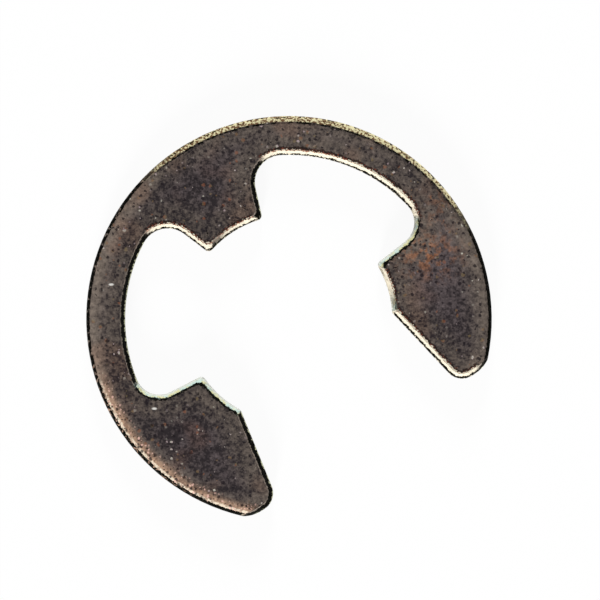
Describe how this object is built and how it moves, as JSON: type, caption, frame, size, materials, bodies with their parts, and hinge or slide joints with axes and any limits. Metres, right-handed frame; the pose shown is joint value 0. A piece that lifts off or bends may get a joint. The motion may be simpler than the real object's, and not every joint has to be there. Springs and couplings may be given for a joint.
{
  "type": "e clip",
  "caption": "Flat E-shaped retaining ring: a round bow with an inward prong and arms that snap sideways into a shaft groove.",
  "frame": {"origin": "on the shaft's axis, level with the ring's underside", "axes": "+Z along the shaft, out of the top face that has the rolled outer edge; the throat faces -Y; +X to the right of someone who looks along +Y"},
  "size_m": [0.0284, 0.0245, 0.0013],
  "materials": {
    "spring_steel": "dull brown-black phosphate, pitted and specked with rust"
  },
  "bodies": {
    "root": {"e_clip": "spring_steel"}
  },
  "joints": []
}
